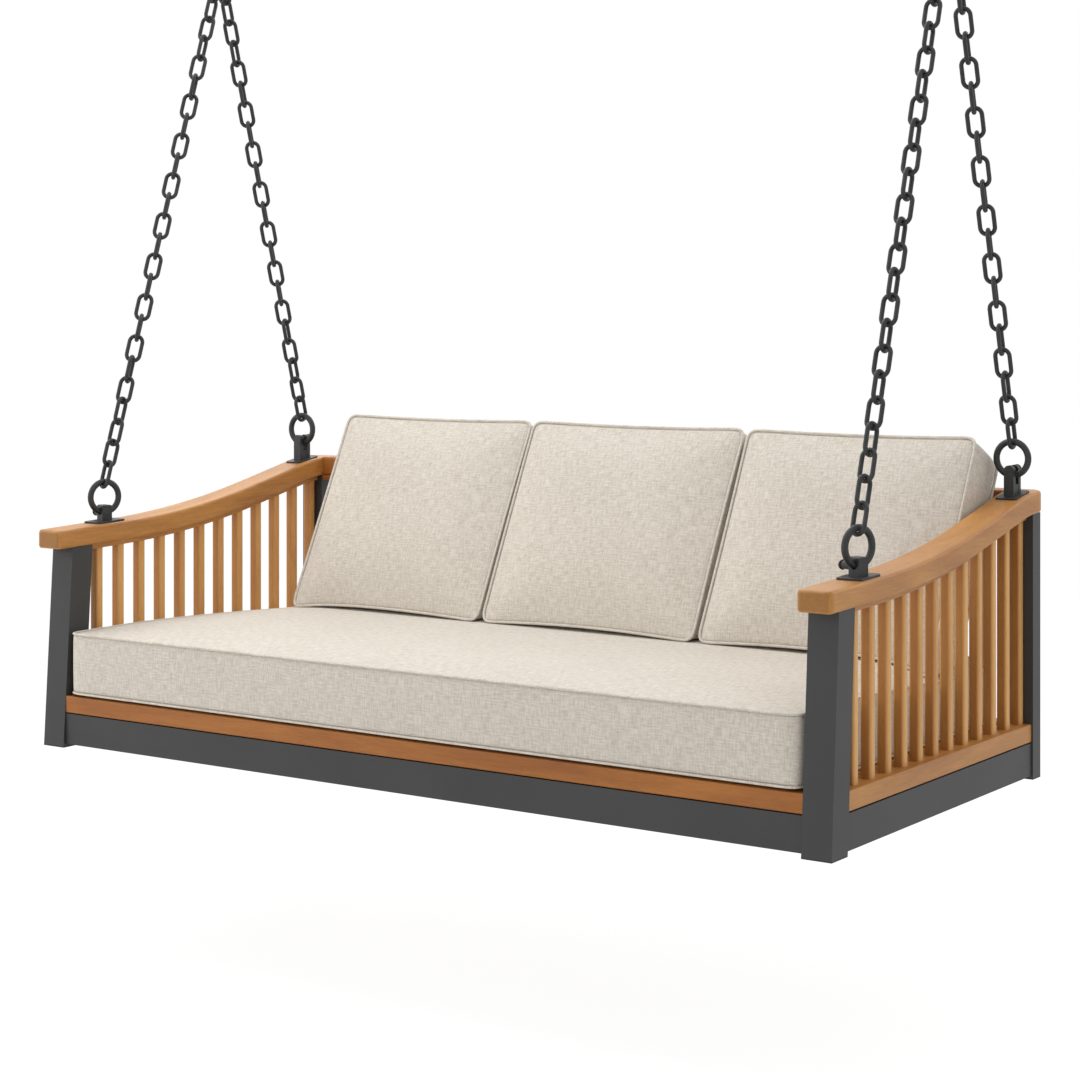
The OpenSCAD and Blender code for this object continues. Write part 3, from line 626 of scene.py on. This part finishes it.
def back_cushion(side, seat):
    """A back cushion: boxed, leaning on the top rail, its foot slumped onto the seat."""
    node = "back_cushion_" + side
    low, high = (Vector(c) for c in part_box(node))
    size = (high.x - low.x - 0.006, BACK_HEIGHT, BACK_DEPTH)
    blank, seams = cushion_blank(
        size, 0.0105, 0.017, 0.024, 0.010, (0.010, 0.005), 0.002, full_swell)
    piece = cushion_mesh(node + "_cover", blank, seams, 0.013)
    crumple(piece, seams, 0.0012, 0.03, 0.03)
    foot = low.z
    middle_x = (low.x + high.x) / 2
    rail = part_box("back_top_rail")
    for vert in piece.data.vertices:
        x, up, face = vert.co          # up the cushion's face, and towards the front
        across = x / size[0] + 0.5
        x += middle_x
        up += BACK_HEIGHT / 2 + 0.003
        share = up / BACK_HEIGHT
        x += sum((1 - across, across)[i]
                 * (at_foot + (at_head - at_foot) * share + bow * 4 * share * (1 - share))
                 for i, (at_foot, at_head, bow) in enumerate(EDGE_SHIFT[side]))
        back = BACK_DEPTH / 2 - face
        slump = max(0.0, 1 - max(0.0, up) / 0.2) ** 1.6
        hit = seat.ray_cast(Vector((x, FOOT_Y + 0.03, foot + 0.1)), Vector((0, 0, -1)))[0]
        sag = max(0.0, foot - hit.z - 0.0008) if hit else 0.0
        y = FOOT_Y + up * math.sin(LEAN) + back * math.cos(LEAN)
        z = foot + up * math.cos(LEAN) - back * math.sin(LEAN) * (1 - slump)
        z = max(z, foot) - sag * max(0.0, 1 - max(0.0, up) / 0.35) ** 1.5
        y = min(y, rail[0][1] - 0.0008 + max(0.0, z - rail[1][2] - 0.003) * 1.5)
        vert.co = (x, y, z)
    piece.data.update()
    finish_cushion(piece, seams, LINEN, WELT, 0.0032, node, node)


def cushions():
    """The seat cushion, then the back cushions, whose feet follow its surface."""
    seat = seat_cushion()
    depsgraph = bpy.context.evaluated_depsgraph_get()
    surface = BVHTree.FromObject(seat, depsgraph)
    for side in ("left", "middle", "right"):
        back_cushion(side, surface)


cushions()


# ---------------------------------------------------------------- studio

FLOOR_Z = -2.36
FLOOR_WHITE = 0.86                     # how much of the floor's look is plain white
FLOOR_GLOW = 1.08
SKY = 0.70
WARM = (1.0, 0.985, 0.965)
COOL = (0.95, 0.985, 1.0)
# Each lamp's name, place, target, size, watts and colour
LAMPS = (
    ("left_low", (-4.2, -1.6, -0.2), (0, 0, -1.5), 2.0, 26, WARM),
    ("over_bed", (0, 0, 2.2), (0, 0, -1.6), 3.0, 38, COOL),
    ("left_front", (-2.8, -4.0, 0.2), (0, 0, -1.6), 2.4, 30, WARM),
    ("over_left", (-2.4, -0.6, 2.2), (0, 0, -1.6), 2.4, 44, WARM),
    ("rear_left", (-2.6, 3.0, 1.2), (0, 0, -1.4), 2.4, 50, COOL),
    ("rear_right", (3.0, 3.0, 1.2), (0, 0, -1.4), 2.4, 30, COOL))


def studio():
    """A pale floor under the hanging bed, a plain white surround and soft lamps."""
    finish = Finish("pale_floor")
    finish.surface(Base_Color=rgb(0.8, 0.8, 0.8), Roughness=0.9)
    white = finish.add("ShaderNodeEmission", {}, {"Color": rgb(1, 1, 1), "Strength": FLOOR_GLOW})
    mixed = finish.add("ShaderNodeMixShader", {}, {
        0: finish.white_rays() * FLOOR_WHITE,
        1: Value(finish, finish.shader.outputs[0]), 2: white})
    finish.feed(finish.tree.nodes["Material Output"].inputs["Surface"], mixed)
    mesh = bmesh.new()
    bmesh.ops.create_grid(mesh, x_segments=1, y_segments=1, size=14)
    bmesh.ops.translate(mesh, verts=mesh.verts, vec=(0, 0, FLOOR_Z))
    data = bpy.data.meshes.new("floor")
    mesh.to_mesh(data)
    mesh.free()
    data.materials.append(finish.material)
    floor = bpy.data.objects.new("floor", data)
    bpy.context.collection.objects.link(floor)

    world = bpy.data.worlds.new("surround")
    world.use_nodes = True
    bpy.context.scene.world = world
    world.node_tree.nodes.clear()
    sky = Nodes(world.node_tree)
    light = sky.add("ShaderNodeBackground", {}, {"Color": rgb(1.0, 0.99, 0.98), "Strength": SKY})
    plain = sky.add("ShaderNodeBackground", {}, {"Color": rgb(1, 1, 1), "Strength": 1.0})
    both = sky.add("ShaderNodeMixShader", {}, {0: sky.white_rays(), 1: light, 2: plain})
    sky.add("ShaderNodeOutputWorld", {}, {"Surface": both})

    for each in LAMPS:
        lamp(*each)
    bpy.context.scene.view_settings.view_transform = "Standard"


def lamp(name, place, target, size, watts, color):
    """A round soft lamp turned to its target."""
    data = bpy.data.lights.new(name, "AREA")
    data.shape = "DISK"
    data.size = size
    data.energy = watts
    data.color = color
    light = bpy.data.objects.new(name, data)
    light.location = place
    light.rotation_euler = (Vector(target) - Vector(place)).to_track_quat("-Z", "Y").to_euler()
    bpy.context.collection.objects.link(light)


studio()
